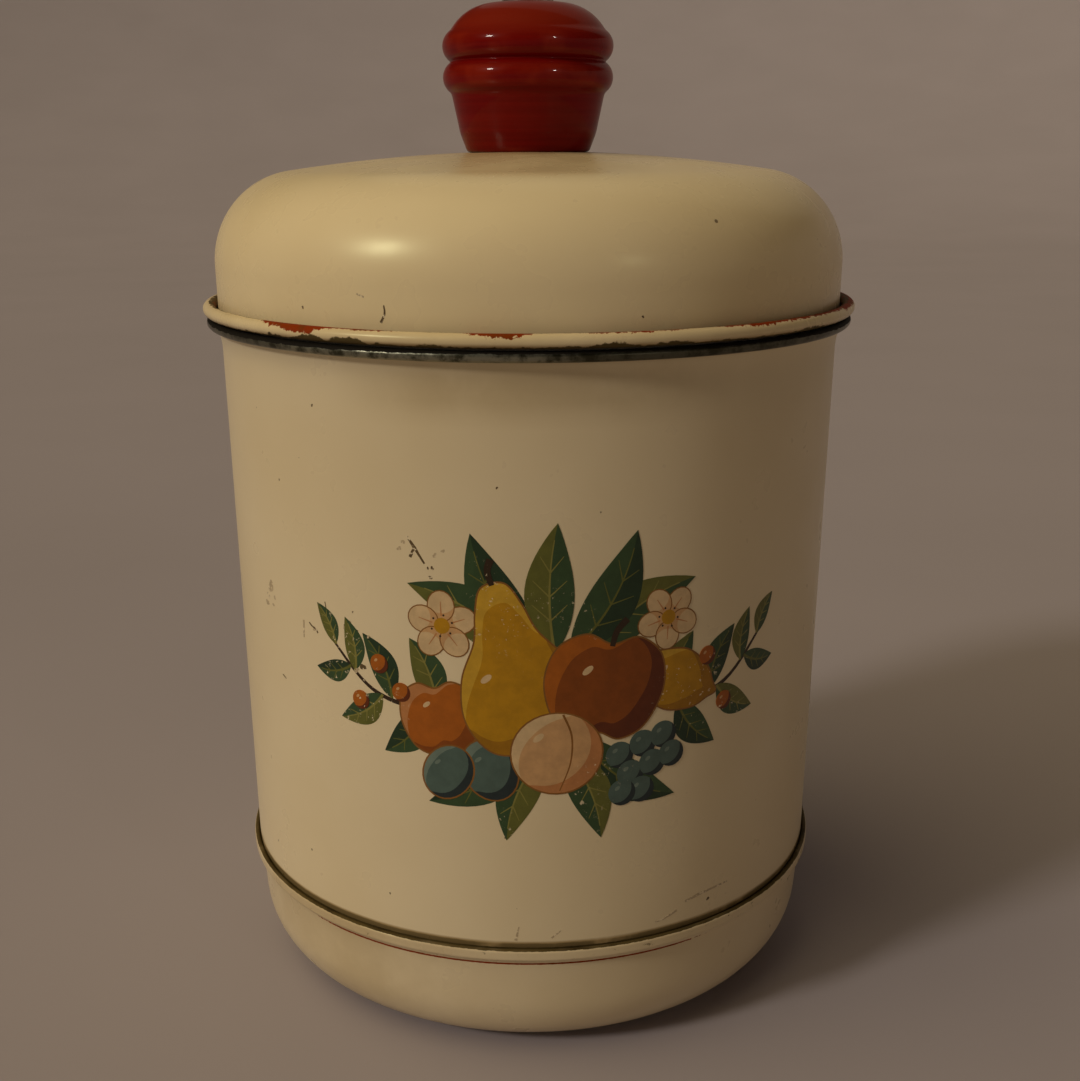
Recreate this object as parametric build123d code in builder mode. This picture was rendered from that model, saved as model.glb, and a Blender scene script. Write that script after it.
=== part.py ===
from build123d import *
from math import asin, degrees, radians, sin, sqrt, tan
import os

# Painted tin kitchen canister with a domed lift-off lid and a turned wooden knob.
# Millimetres, +Z up, origin at the middle of the ring that the canister stands on.
# A sheet piece is one line along the middle of its sheet, traced to the sheet's thickness and
# turned about the axis, so its bends and curls are the ones that the press and roll leave.

# Sheet and fits
sheet = 0.5  # thickness of the tinned steel
solder_gap = 0.05  # left between lapped sheets for the solder
lid_clearance = 0.3  # between the jar and the lid, at the plug and between the rims
bend_radius = 0.4  # inside radius of the sharp press bends
overrun = 1.0  # how far a cutter runs past the face that it cuts

# Bottom pan: a drawn dish with a raised middle and a folded lip round its rim
pan_height = 27.5
pan_corner_radius = 15.0
pan_draft_angle = 3.0
pan_inset = 0.25  # the pan's wall stands this far inside the jar's
standing_ring_width = 6.92  # flat between the corner and the ramp of the raised middle
panel_rise = 1.5
panel_ramp = 2.6
panel_bend_radius = 1.4
lip_thickness = 1.2  # two sheets folded together
lip_height = 2.5
joggle_height = 1.2
lap_shelf = 0.3  # from the top of the pan's joggle to the wall's lower edge

# Body wall: a rolled sheet with a lapped seam at the back and a curled mouth
body_radius = 63.5
mouth_height = 142.9  # top of the bead
flare_radius = 14.0
flare_angle = 25.0
bead_radius = 1.0
bead_turn_angle = 285.0
lap_width = 6.0
lap_ramp = 1.2
lap_margin = 0.5  # from the pan's lip to the start of the lap

# Lid: a drawn dome whose edge is turned out and curled up, over a soldered collar
lid_wall_height = 9.5
lid_corner_radius = 18.0
crown_radius = 340.0
gutter_width = 0.45  # between the lid's wall and the curled rim
rim_radius = 1.3
rim_turn_angle = 285.0
seat_margin = 0.7  # flat round the knob's foot
collar_step = 0.55
collar_joggle = 1.4
collar_top_drop = 1.2  # from the start of the lid's corner down to the collar's edge
collar_grip = 5.0  # height soldered to the lid's wall
plug_depth = 11.0  # below the top of the mouth
plug_lead = 1.6
plug_taper = 0.7

# Knob: turned wood with two rings under a low dome
knob_foot_radius = 12.3
knob_foot_height = 3.6
knob_waist_radius = 13.7
knob_neck_radius = 15.3
knob_neck_height = 11.1
ring_bulge = 1.65
ring_height = 5.75
dome_height = 4.8
knob_top_margin = 0.3  # flat round the washer

# Fastener: slotted screw through the knob, with a washer at each end and a square nut
screw_radius = 2.08
screw_head_radius = 3.95
screw_head_height = 2.8
slot_width = 1.2
slot_depth = 1.3
screw_end = 2.0  # thread that shows below the nut
screw_clearance = 0.22  # round the screw in the knob, the lid and the washers
thread_clearance = 0.03
washer_radius = 5.0
washer_thickness = 0.9
lid_washer_radius = 6.0
nut_width = 8.7
nut_height = 3.2
nut_chamfer = 0.6

# Radii that one fit passes to the next
half_sheet = sheet / 2
wall_inner_radius = body_radius - sheet
plug_radius = wall_inner_radius - lid_clearance
grip_radius = plug_radius + collar_step
lid_radius = grip_radius + solder_gap + sheet
lap_inner_radius = body_radius + solder_gap
screw_hole_radius = screw_radius + screw_clearance
seat_radius = knob_foot_radius + seat_margin
ring_radius = knob_neck_radius + ring_bulge
knob_top_radius = washer_radius + knob_top_margin

# Heights from the floor up
joggle_top = pan_height - lip_height
joggle_bottom = joggle_top - joggle_height
wall_bottom = joggle_top + lap_shelf
rim_bottom = mouth_height + lid_clearance
lid_corner_height = rim_bottom + lid_wall_height

# The crown is an arc about a point on the axis, and the corner rolls inside it
corner_axis_radius = lid_radius - lid_corner_radius
corner_line_radius = lid_corner_radius - half_sheet
crown_line_radius = crown_radius - half_sheet
crown_centre = lid_corner_height - sqrt((crown_radius - lid_corner_radius) ** 2 - corner_axis_radius**2)
seat_height = crown_centre + sqrt(crown_line_radius**2 - seat_radius**2) + half_sheet
crown_start_angle = degrees(asin(seat_radius / crown_line_radius))
crown_end_angle = degrees(asin(corner_axis_radius / (crown_radius - lid_corner_radius)))

neck_top = seat_height + knob_neck_height
groove = neck_top + ring_height
shoulder = groove + ring_height
knob_top = shoulder + dome_height
washer_top = knob_top + washer_thickness
lid_underside = seat_height - sheet
nut_top = lid_underside - washer_thickness
nut_bottom = nut_top - nut_height

os.makedirs("parts", exist_ok=True)

# Bottom pan
with BuildPart() as bottom_pan:
    with BuildSketch(Plane.XZ) as pan_section:
        with BuildLine() as pan_line:
            pan_wall_radius = body_radius - pan_inset - half_sheet
            pan_foot_radius = pan_wall_radius - joggle_bottom * tan(radians(pan_draft_angle))
            corner_reach = pan_corner_radius * tan(radians(90 - pan_draft_angle) / 2)
            ramp_radius = pan_foot_radius - corner_reach - standing_ring_width
            panel_radius = ramp_radius - panel_ramp
            lap_radius = lap_inner_radius + half_sheet
            joggle_bend_radius = bend_radius + half_sheet
            FilletPolyline(
                (0, panel_rise + half_sheet),
                (panel_radius, panel_rise + half_sheet),
                (ramp_radius, half_sheet),
                (pan_foot_radius, half_sheet),
                (pan_wall_radius, joggle_bottom),
                (lap_radius, joggle_top),
                (lap_radius, pan_height - lip_thickness / 2),
                radius=[
                    panel_bend_radius,
                    panel_bend_radius,
                    pan_corner_radius,
                    joggle_bend_radius,
                    joggle_bend_radius,
                ],
            )
        trace(line_width=sheet)
        with Locations((lap_inner_radius + lip_thickness / 2, pan_height - lip_height / 2)):
            SlotOverall(lip_height, lip_thickness, rotation=90)
    revolve(axis=Axis.Z)
bottom_pan.part.label = "bottom_pan"
export_step(bottom_pan.part, "parts/bottom_pan.step")

# Body wall, with its lapped seam as a strip that is one sheet proud of the back
with BuildPart() as body_wall:
    with BuildSketch(Plane.XZ) as wall_section:
        with BuildLine() as wall_line:
            wall_radius = body_radius - half_sheet
            bead_line_radius = bead_radius - half_sheet
            flare_rise = (flare_radius - bead_line_radius) * sin(radians(flare_angle))
            flare_bottom = mouth_height - bead_radius - flare_rise
            straight = Line((wall_radius, wall_bottom), (wall_radius, flare_bottom))
            flare = JernArc(straight @ 1, straight % 1, flare_radius, -flare_angle)
            JernArc(flare @ 1, flare % 1, bead_line_radius, -bead_turn_angle)
        trace(line_width=sheet)
    revolve(axis=Axis.Z)
    lap_bottom = pan_height + lap_margin
    with BuildSketch(Plane.XY.offset(lap_bottom)) as lap_section:
        with BuildLine() as lap_outline:
            lap_angle = degrees(lap_width / body_radius)
            ramp_angle = degrees(lap_ramp / body_radius)
            lap_start = 90 - lap_angle / 2
            root = CenterArc((0, 0), wall_radius, lap_start, lap_angle)
            crest = CenterArc((0, 0), body_radius + sheet, lap_start + ramp_angle, lap_angle - ramp_angle)
            Line(root @ 0, crest @ 0)
            Line(root @ 1, crest @ 1)
        make_face()
    extrude(amount=flare_bottom - lap_bottom)
body_wall.part.label = "body_wall"
export_step(body_wall.part, "parts/body_wall.step")

# Lid dome
with BuildPart() as lid_dome:
    with BuildSketch(Plane.XZ) as dome_section:
        with BuildLine() as dome_line:
            crown_sweep_angle = crown_start_angle - crown_end_angle
            crown = CenterArc((0, crown_centre), crown_line_radius, 90 - crown_start_angle, crown_sweep_angle)
            Line((screw_hole_radius, seat_height - half_sheet), crown @ 0)
            corner = JernArc(crown @ 1, crown % 1, corner_line_radius, crown_end_angle - 90)
            wall = Line(corner @ 1, (lid_radius - half_sheet, rim_bottom + sheet + bend_radius))
            turn = JernArc(wall @ 1, wall % 1, bend_radius + half_sheet, 90)
            flange = Line(turn @ 1, (lid_radius + gutter_width + rim_radius, rim_bottom + half_sheet))
            JernArc(flange @ 1, flange % 1, rim_radius - half_sheet, rim_turn_angle)
        trace(line_width=sheet)
    revolve(axis=Axis.Z)
lid_dome.part.label = "lid_dome"
export_step(lid_dome.part, "parts/lid_dome.step")

# Lid collar, soldered inside the lid's wall and stepped in to plug the mouth
with BuildPart() as lid_collar:
    with BuildSketch(Plane.XZ) as collar_section:
        with BuildLine() as collar_line:
            collar_top = lid_corner_height - collar_top_drop
            step_top = collar_top - collar_grip
            plug_bottom = mouth_height - plug_depth
            grip_line_radius = grip_radius - half_sheet
            plug_line_radius = plug_radius - half_sheet
            FilletPolyline(
                (grip_line_radius, collar_top),
                (grip_line_radius, step_top),
                (plug_line_radius, step_top - collar_joggle),
                (plug_line_radius, plug_bottom + plug_lead),
                (plug_line_radius - plug_taper, plug_bottom),
                radius=bend_radius + half_sheet,
            )
        trace(line_width=sheet)
    revolve(axis=Axis.Z)
lid_collar.part.label = "lid_collar"
export_step(lid_collar.part, "parts/lid_collar.step")

# Knob, turned about its bore
with BuildPart() as knob:
    with BuildSketch(Plane.XZ) as knob_section:
        with BuildLine() as knob_outline:
            foot = Polyline(
                (screw_hole_radius, knob_top),
                (screw_hole_radius, seat_height),
                (knob_foot_radius, seat_height),
                (knob_waist_radius, seat_height + knob_foot_height),
                (knob_neck_radius, neck_top),
            )
            ring_middle = neck_top + ring_height / 2
            lower_ring = ThreePointArc(foot @ 1, (ring_radius, ring_middle), (knob_neck_radius, groove))
            upper_middle = groove + ring_height / 2
            upper_ring = ThreePointArc(
                lower_ring @ 1, (ring_radius, upper_middle), (knob_neck_radius, shoulder)
            )
            dome = TangentArc((knob_top_radius, knob_top), upper_ring @ 1, tangent=(1, 0))
            Line(dome @ 0, foot @ 0)
        make_face()
    revolve(axis=Axis.Z)
knob.part.label = "knob"
export_step(knob.part, "parts/knob.step")

# Washer on top of the knob
with BuildPart() as knob_washer:
    with BuildSketch(Plane.XY.offset(knob_top)) as knob_washer_face:
        Circle(washer_radius)
        Circle(screw_hole_radius, mode=Mode.SUBTRACT)
    extrude(amount=washer_thickness)
knob_washer.part.label = "knob_washer"
export_step(knob_washer.part, "parts/knob_washer.step")

# Washer under the lid
with BuildPart() as lid_washer:
    with BuildSketch(Plane.XY.offset(nut_top)) as lid_washer_face:
        Circle(lid_washer_radius)
        Circle(screw_hole_radius, mode=Mode.SUBTRACT)
    extrude(amount=washer_thickness)
lid_washer.part.label = "lid_washer"
export_step(lid_washer.part, "parts/lid_washer.step")

# Screw with a slotted round head
with BuildPart() as knob_screw:
    with BuildSketch(Plane.XZ) as screw_section:
        with BuildLine() as screw_outline:
            head_top = washer_top + screw_head_height
            head = TangentArc((0, head_top), (screw_head_radius, washer_top), tangent=(1, 0))
            shank = Polyline(
                head @ 1,
                (screw_radius, washer_top),
                (screw_radius, nut_bottom - screw_end),
                (0, nut_bottom - screw_end),
            )
            Line(shank @ 1, head @ 0)
        make_face()
    revolve(axis=Axis.Z)
    with BuildSketch(Plane.XY.offset(head_top + overrun)) as slot_face:
        Rectangle((screw_head_radius + overrun) * 2, slot_width)
    extrude(amount=-(overrun + slot_depth), mode=Mode.SUBTRACT)
knob_screw.part.label = "knob_screw"
export_step(knob_screw.part, "parts/knob_screw.step")

# Square nut, with its lower corners broken
with BuildPart() as knob_nut:
    with BuildSketch(Plane.XY.offset(nut_bottom)) as nut_face:
        Rectangle(nut_width, nut_width)
        Circle(screw_radius + thread_clearance, mode=Mode.SUBTRACT)
    extrude(amount=nut_height)
    rim = knob_nut.faces().sort_by(Axis.Z)[0].outer_wire().edges()
    chamfer(rim, length=nut_chamfer)
knob_nut.part.label = "knob_nut"
export_step(knob_nut.part, "parts/knob_nut.step")
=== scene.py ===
import math

import bmesh
import bpy
from mathutils import Matrix, Vector
from mathutils.geometry import tessellate_polygon


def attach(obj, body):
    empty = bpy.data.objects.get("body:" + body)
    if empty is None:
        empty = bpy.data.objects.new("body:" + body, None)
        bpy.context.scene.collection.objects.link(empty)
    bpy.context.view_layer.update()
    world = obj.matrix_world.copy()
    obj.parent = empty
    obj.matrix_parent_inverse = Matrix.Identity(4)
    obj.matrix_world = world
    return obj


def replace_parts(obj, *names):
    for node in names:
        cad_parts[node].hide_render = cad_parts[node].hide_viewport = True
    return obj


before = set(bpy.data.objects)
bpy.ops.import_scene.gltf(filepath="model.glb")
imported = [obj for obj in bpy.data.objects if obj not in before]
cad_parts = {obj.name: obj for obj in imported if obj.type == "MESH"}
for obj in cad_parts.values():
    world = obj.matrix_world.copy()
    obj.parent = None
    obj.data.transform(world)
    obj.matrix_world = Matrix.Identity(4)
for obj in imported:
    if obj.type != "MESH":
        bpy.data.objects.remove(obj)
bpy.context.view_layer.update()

# Sizes in millimetres, the same as the solids have. Angles go round from the front, right-hand positive.
MM = 0.001
FACETS = 240
SHEET = 0.5
HALF = SHEET / 2
BEND = 0.65
SHEET_STEP = 2.4

# Jar. The bead at its mouth, like the lid's rim below, is given by the middle of its curl, and a point that
# lies within the reach of that middle belongs to it.
JAR_RADIUS = 63.5
PAN_TOP = 27.5
PAN_FLOOR = 1.75
PAN_BEND = 15
LIP_MIDDLE = 64.15
LIP_ROUND = 0.6
LIP_LOW = 25.6
LIP_HIGH = 26.9
JOGGLE = 23.8
FLARE_START = 136.3
FLARE_BEND = 14
BEAD = (65.242, 141.9)
BEAD_BEND = 0.75
BEAD_REACH = 1.1
LAP_START, LAP_RAMP, LAP_END = 177.29, 178.38, 182.71

# Lid
LID_RADIUS = 63.8
RIM = (65.55, 144.5)
CURL = 1.025
CURL_REACH = 1.6
LID_CORNER = (45.8, 152.7)
LID_BEND = 18
LID_STEP = 2.2
CROWN_RADIUS = 340.0
CROWN_CENTRE = LID_CORNER[1] - math.sqrt((CROWN_RADIUS - LID_BEND) ** 2 - LID_CORNER[0] ** 2)
SEAT = 173.725
SEAT_RADIUS = 13

# Knob and its fastener
KNOB_FOOT = 12.3
FOOT_HEIGHT = 3.6
KNOB_WAIST = 13.7
KNOB_TOP = 201.125
RING_CENTRE = 13.6203
RING_RADIUS = 3.3297
RING_HALF = 2.875
RING_HEIGHTS = (13.975, 19.725)
DOME_CENTRE = 6.8
DOME_RADIUS = 9.926
DOME_REACH = 8.5
WASHER_TOP = 202.025
WASHER_RADIUS = 5.0
LID_WASHER_RADIUS = 6.0
HEAD_TOP = 204.825
HEAD_RADIUS = 4.186
HEAD_REACH = 3.95
SLOT_WIDTH = 1.2
SLOT_DEPTH = 1.3
NUT_TOP = 172.325
SCREW_END = 167.125
SCREW_RADIUS = 2.08
SCREW_TIP = 0.3
HOLE = 2.3
THREAD_PITCH = 0.79
THREAD_DEPTH = 0.42
THREAD_STEP = 0.08


# Profiles in the plane of radius and height

def arc(centre, radius, start, end, steps):
    turns = [math.radians(start + (end - start) * k / steps) for k in range(steps + 1)]
    return [(centre[0] + radius * math.cos(a), centre[1] + radius * math.sin(a)) for a in turns]


def rounded(points, radii, steps=8):
    """A line through the points, with each inner corner rounded to its radius."""
    line = [points[0]]
    for before, corner, after, radius in zip(points, points[1:], points[2:], radii):
        corner = Vector(corner)
        back = (Vector(before) - corner).normalized()
        on = (Vector(after) - corner).normalized()
        half = back.angle(on) / 2
        centre = corner + (back + on).normalized() * radius / math.sin(half)
        start = corner + back * radius / math.tan(half) - centre
        end = corner + on * radius / math.tan(half) - centre
        first = math.atan2(start.y, start.x)
        sweep = math.remainder(math.atan2(end.y, end.x) - first, math.tau)
        line += arc(centre, radius, math.degrees(first), math.degrees(first + sweep), steps)
    return line + [points[-1]]


def spaced(line, step):
    """The line without doubled points, and with points added where a run is longer than the step."""
    out = [tuple(line[0])]
    for a, b in zip(line, line[1:]):
        length = math.dist(a, b)
        if length < 1e-4:
            continue
        parts = math.ceil(length / step)
        for k in range(1, parts + 1):
            out.append((a[0] + (b[0] - a[0]) * k / parts, a[1] + (b[1] - a[1]) * k / parts))
    return out


def softened(line, passes):
    """The line with its creases eased, its two ends kept."""
    for _ in range(passes):
        inner = [
            ((a[0] + 2 * b[0] + c[0]) / 4, (a[1] + 2 * b[1] + c[1]) / 4)
            for a, b, c in zip(line, line[1:], line[2:])
        ]
        line = [line[0]] + inner + [line[-1]]
    return line


def faces_of_sheet(line):
    """The right and the left face of a sheet whose middle runs along the line."""
    right, left = [], []
    for k, (r, z) in enumerate(line):
        run = Vector(line[min(k + 1, len(line) - 1)]) - Vector(line[max(k - 1, 0)])
        run.normalize()
        right.append((r + run.y * HALF, z - run.x * HALF))
        left.append((r - run.y * HALF, z + run.x * HALF))
    return right, left


# Turned meshes

def round_angles(count):
    return [360 * k / count for k in range(count)]


def finish_mesh(name, mesh, materials, body, crease=35):
    """Closed mesh made into a piece that rides on a body."""
    shell = bmesh.new()
    shell.from_mesh(mesh)
    bmesh.ops.recalc_face_normals(shell, faces=shell.faces)
    shell.to_mesh(mesh)
    shell.free()
    mesh.shade_smooth()
    mesh.set_sharp_from_angle(angle=math.radians(crease))
    for material in materials:
        mesh.materials.append(material)
    piece = bpy.data.objects.new(name, mesh)
    bpy.context.scene.collection.objects.link(piece)
    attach(piece, body)
    return piece


def turned(
    name, outline, slots, materials, body,
    angles=round_angles(FACETS), closed=True, shape=None, marks=None,
):
    """Turns an outline about the axis. Slots gives the material after each of its points, shape moves a
    point (radius, height, angle), and marks gives named values at a point for the material to read."""
    vertices, faces, face_slots, rings, places = [], [], [], [], []
    for r, z in outline:
        if r < 1e-4:
            rings.append([len(vertices)] * len(angles))
            vertices.append((0, 0, z * MM))
            places.append((0, z, 0))
            continue
        rings.append(range(len(vertices), len(vertices) + len(angles)))
        for angle in angles:
            a = math.radians(angle)
            near, high = shape(r, z, angle) if shape else (r, z)
            vertices.append((near * math.sin(a) * MM, -near * math.cos(a) * MM, high * MM))
            places.append((r, z, (angle + 180) % 360 - 180))
    strips = list(zip(rings, rings[1:] + rings[:1], slots))
    for low, high, strip_slot in strips if closed else strips[:-1]:
        for k in range(len(angles)):
            n = (k + 1) % len(angles)
            faces.append(tuple(dict.fromkeys((low[k], low[n], high[n], high[k]))))
            face_slots.append(strip_slot)
    mesh = bpy.data.meshes.new(name)
    mesh.from_pydata(vertices, [], faces)
    mesh.polygons.foreach_set("material_index", face_slots)
    for mark, value in (marks or {}).items():
        store = mesh.attributes.new(mark, "FLOAT", "POINT")
        store.data.foreach_set("value", [value(*place) for place in places])
    return finish_mesh(name, mesh, materials, body)


def between(value, low, high, soft):
    """1 between low and high, fading to 0 over the soft width outside them."""
    return max(0.0, min(1.0, (value - low) / soft + 1, (high - value) / soft + 1))


def past(value, edge, soft):
    """0 below the edge and 1 above it, with a half at the edge."""
    return max(0.0, min(1.0, 0.5 + (value - edge) / soft))


def turn_about(centre, r, z):
    """Direction from the centre of a bend to a point, in degrees from outward, anticlockwise."""
    return math.degrees(math.atan2(z - centre[1], r - centre[0]))


# Materials

class Finish:
    """Short names for the nodes of one material."""

    def __init__(self, name):
        self.material = bpy.data.materials.new(name)
        self.material.use_nodes = True
        self.tree = self.material.node_tree
        self.shader = self.tree.nodes["Principled BSDF"]
        self.place = self.tree.nodes.new("ShaderNodeTexCoord").outputs["Object"]

    def give(self, socket, value):
        if isinstance(value, bpy.types.NodeSocket):
            self.tree.links.new(value, socket)
        else:
            socket.default_value = value

    def set(self, **inputs):
        for name, value in inputs.items():
            self.give(self.shader.inputs[name.replace("_", " ")], value)

    def math(self, operation, a, b=0.0):
        node = self.tree.nodes.new("ShaderNodeMath")
        node.operation = operation
        self.give(node.inputs[0], a)
        self.give(node.inputs[1], b)
        return node.outputs[0]

    def stretched(self, x, y, z):
        node = self.tree.nodes.new("ShaderNodeMapping")
        node.inputs["Scale"].default_value = (x, y, z)
        self.give(node.inputs["Vector"], self.place)
        return node.outputs[0]

    def noise(self, scale, detail=2.0, roughness=0.5, vector=None):
        node = self.tree.nodes.new("ShaderNodeTexNoise")
        self.give(node.inputs["Vector"], vector or self.place)
        node.inputs["Scale"].default_value = scale
        node.inputs["Detail"].default_value = detail
        node.inputs["Roughness"].default_value = roughness
        return node.outputs["Fac"]

    def cells(self, scale, output):
        node = self.tree.nodes.new("ShaderNodeTexVoronoi")
        self.give(node.inputs["Vector"], self.place)
        node.inputs["Scale"].default_value = scale
        return node.outputs[output]

    def step(self, value, low, high):
        node = self.tree.nodes.new("ShaderNodeMapRange")
        node.interpolation_type = "SMOOTHSTEP"
        self.give(node.inputs["Value"], value)
        node.inputs["From Min"].default_value = low
        node.inputs["From Max"].default_value = high
        return node.outputs["Result"]

    def mix(self, factor, a, b):
        node = self.tree.nodes.new("ShaderNodeMix")
        node.data_type = "RGBA"
        self.give(node.inputs[0], factor)
        self.give(node.inputs[6], a if isinstance(a, bpy.types.NodeSocket) else (*a, 1))
        self.give(node.inputs[7], b if isinstance(b, bpy.types.NodeSocket) else (*b, 1))
        return node.outputs[2]

    def blend(self, factor, a, b):
        node = self.tree.nodes.new("ShaderNodeMix")
        self.give(node.inputs[0], factor)
        self.give(node.inputs[2], a)
        self.give(node.inputs[3], b)
        return node.outputs[0]

    def mark(self, name):
        node = self.tree.nodes.new("ShaderNodeAttribute")
        node.attribute_name = name
        return node.outputs["Fac"]

    def ragged(self, name, scale, reach, detail=4.0):
        """Where a mark covers the surface, its edge broken up by noise."""
        mark = self.mark(name)
        broken = self.math("MULTIPLY", self.math("SUBTRACT", self.noise(scale, detail, 0.65), 0.5), reach)
        broken = self.math("MULTIPLY", broken, self.step(mark, 0.0, 0.25))
        return self.step(self.math("ADD", mark, broken), 0.44, 0.56)

    def relief(self, height, distance):
        node = self.tree.nodes.new("ShaderNodeBump")
        node.inputs["Distance"].default_value = distance
        self.give(node.inputs["Height"], height)
        self.give(self.shader.inputs["Normal"], node.outputs["Normal"])


CREAM = ((0.80, 0.675, 0.455), (0.745, 0.615, 0.392))
# The lid's cream is a lighter, yellower copy of the jar's: painted light for the brighter light that falls on
# the lid.
LID_CREAM_PAINTED_LIGHTER = ((0.86, 0.715, 0.440), (0.80, 0.65, 0.378))
CREAM_STAIN_AND_SHADE = (0.40, 0.28, 0.13)
OLIVE_DIRT = (0.095, 0.066, 0.024)
BROWN_DIRT = (0.048, 0.032, 0.012)
BLACK_DIRT_AND_SHADE = (0.012, 0.010, 0.007)
RED_TRACE = (0.26, 0.030, 0.001)
RED_BROWN = (0.18, 0.038, 0.003)
FLECK = (0.09, 0.05, 0.025)


def enamel(name, cream, gloss):
    """Aged cream enamel. It reads marks for red paint traces, dirt, and stains mixed with painted shade,
    which are olive above 1.
    """
    pale, deep = cream
    f = Finish(name)
    cloudy = f.noise(95, 3, 0.6)
    fine = f.noise(700, 2)
    colour = f.mix(f.step(f.noise(16, 3, 0.55), 0.32, 0.72), pale, deep)
    colour = f.mix(f.math("MULTIPLY", f.step(cloudy, 0.35, 0.8), 0.2), colour, deep)
    # The stain mark also carries painted shade that darkens the cream where shadow falls: below the jar's
    # rim, in front of the knob, under the lid's curl and on the pan's left.
    stain_and_shade = f.math("MULTIPLY", f.mark("stain_and_shade"), f.step(f.noise(60, 4, 0.65), 0.0, 0.7))
    colour = f.mix(stain_and_shade, colour, CREAM_STAIN_AND_SHADE)
    colour = f.mix(f.math("MULTIPLY", f.step(stain_and_shade, 0.9, 1.7), 0.78), colour, OLIVE_DIRT)
    fleck_size = f.math("MULTIPLY", f.step(f.noise(31, 1), 0.52, 0.7), 0.055)
    fleck = f.math("LESS_THAN", f.cells(140, "Distance"), fleck_size)
    red = f.ragged("red", 1100, 1.7, 5.0)
    dirt = f.ragged("dirt", 620, 0.9)
    dirt_colour = f.mix(f.step(f.noise(130, 4, 0.6), 0.28, 0.56), BROWN_DIRT, OLIVE_DIRT)
    colour = f.mix(red, colour, f.mix(f.step(f.noise(260, 3), 0.45, 0.7), RED_TRACE, RED_BROWN))
    colour = f.mix(f.math("MULTIPLY", fleck, 0.75), colour, FLECK)
    cover = f.blend(f.step(cloudy, 0.25, 0.5), 0.86, 1.0)
    colour = f.mix(f.math("MULTIPLY", dirt, cover), colour, dirt_colour)
    rough = f.blend(f.step(cloudy, 0.3, 0.7), gloss, gloss + 0.07)
    bare = f.math("MAXIMUM", dirt, red)
    f.set(Base_Color=colour, Roughness=f.blend(bare, rough, 0.65))
    f.set(Specular_IOR_Level=f.blend(bare, 0.5, 0.15), Specular_Tint=(0.95, 1.0, 0.62, 1))
    height = f.math("ADD", fine, cloudy)
    worn = f.math("MULTIPLY", f.math("MAXIMUM", fleck, dirt), 9.0)
    f.relief(f.math("SUBTRACT", height, worn), 0.000004)
    return f.material


def tinned(name):
    """Dull tinned steel with a faint crystal pattern, brown spots, and dirt where a mark says so."""
    f = Finish(name)
    spots = f.step(f.noise(45, 5, 0.7), 0.52, 0.72)
    cloudy = f.noise(120, 3)
    colour = f.mix(f.cells(70, "Color"), (0.54, 0.52, 0.47), (0.63, 0.61, 0.55))
    colour = f.mix(f.math("MULTIPLY", spots, 0.55), colour, (0.20, 0.13, 0.065))
    dirt = f.ragged("dirt", 520, 0.7)
    colour = f.mix(dirt, colour, BROWN_DIRT)
    rough = f.blend(f.step(cloudy, 0.3, 0.7), 0.30, 0.48)
    rough = f.blend(f.math("MAXIMUM", spots, dirt), rough, 0.65)
    f.set(Base_Color=colour, Roughness=rough, Metallic=f.blend(dirt, 0.55, 0.0))
    f.relief(f.math("ADD", f.noise(900, 3), cloudy), 0.00001)
    return f.material


def worn_rim(name):
    """Rubbed grey-green steel at the mouth's bead, blotched, with marks for dark stain, and for black dirt
    mixed with painted shade of the gap under the lid's curl.
    """
    f = Finish(name)
    blotch = f.noise(330, 5, 0.7)
    colour = f.mix(f.step(blotch, 0.38, 0.62), (0.060, 0.060, 0.036), (0.34, 0.335, 0.25))
    colour = f.mix(f.mark("stain_and_shade"), colour, (0.034, 0.031, 0.016))
    dirt = f.ragged("dirt", 450, 1.3, 5.0)
    f.set(Base_Color=f.mix(dirt, colour, BLACK_DIRT_AND_SHADE), Metallic=f.blend(dirt, 0.85, 0.0))
    f.set(Roughness=f.blend(dirt, f.blend(blotch, 0.22, 0.42), 0.7))
    f.set(Specular_IOR_Level=f.blend(dirt, 0.5, 0.1))
    f.relief(f.math("ADD", f.noise(900, 3), blotch), 0.00003)
    return f.material


def red_gloss(name):
    """Deep red gloss over turned wood, with a painted orange sheen on top, faint turning lines, rubbed crests
    and nicks.
    """
    f = Finish(name)
    lines = f.noise(60, 4, 0.6, vector=f.stretched(0.5, 0.5, 26))
    cloudy = f.noise(130, 3)
    colour = f.mix(f.step(lines, 0.35, 0.7), (0.138, 0.0008, 0.0006), (0.168, 0.0020, 0.0010))
    # Painted sheen: a lighter orange on the dome's top and on the top of the lower ring.
    colour = f.mix(f.mark("painted_sheen"), colour, (0.205, 0.016, 0.005))
    rubbed = f.math("MULTIPLY", f.mark("crest"), f.step(cloudy, 0.46, 0.66))
    colour = f.mix(f.math("MULTIPLY", rubbed, 0.5), colour, (0.25, 0.018, 0.005))
    nick_size = f.math("MULTIPLY", f.step(f.noise(75, 1), 0.56, 0.7), 0.07)
    nick = f.math("LESS_THAN", f.cells(210, "Distance"), nick_size)
    colour = f.mix(f.math("MULTIPLY", nick, 0.7), colour, (0.05, 0.008, 0.004))
    f.set(Base_Color=colour, Roughness=f.blend(f.step(cloudy, 0.3, 0.7), 0.27, 0.34))
    f.set(Specular_IOR_Level=0.035)
    f.set(Coat_Weight=0.27, Coat_Roughness=0.05)
    f.relief(f.math("SUBTRACT", f.math("ADD", lines, cloudy), nick), 0.000012)
    return f.material


def nickel(name):
    """Worn nickel plate, browned in patches and finely scratched."""
    f = Finish(name)
    cloudy = f.noise(420, 4, 0.6)
    scratches = f.noise(260, 3, 0.6, vector=f.stretched(1, 14, 3))
    colour = f.mix(f.step(cloudy, 0.42, 0.68), (0.56, 0.53, 0.48), (0.26, 0.19, 0.12))
    f.set(Base_Color=colour, Metallic=1.0, Roughness=f.blend(f.step(cloudy, 0.3, 0.7), 0.28, 0.5))
    f.relief(f.math("ADD", scratches, cloudy), 0.00001)
    return f.material


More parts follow.
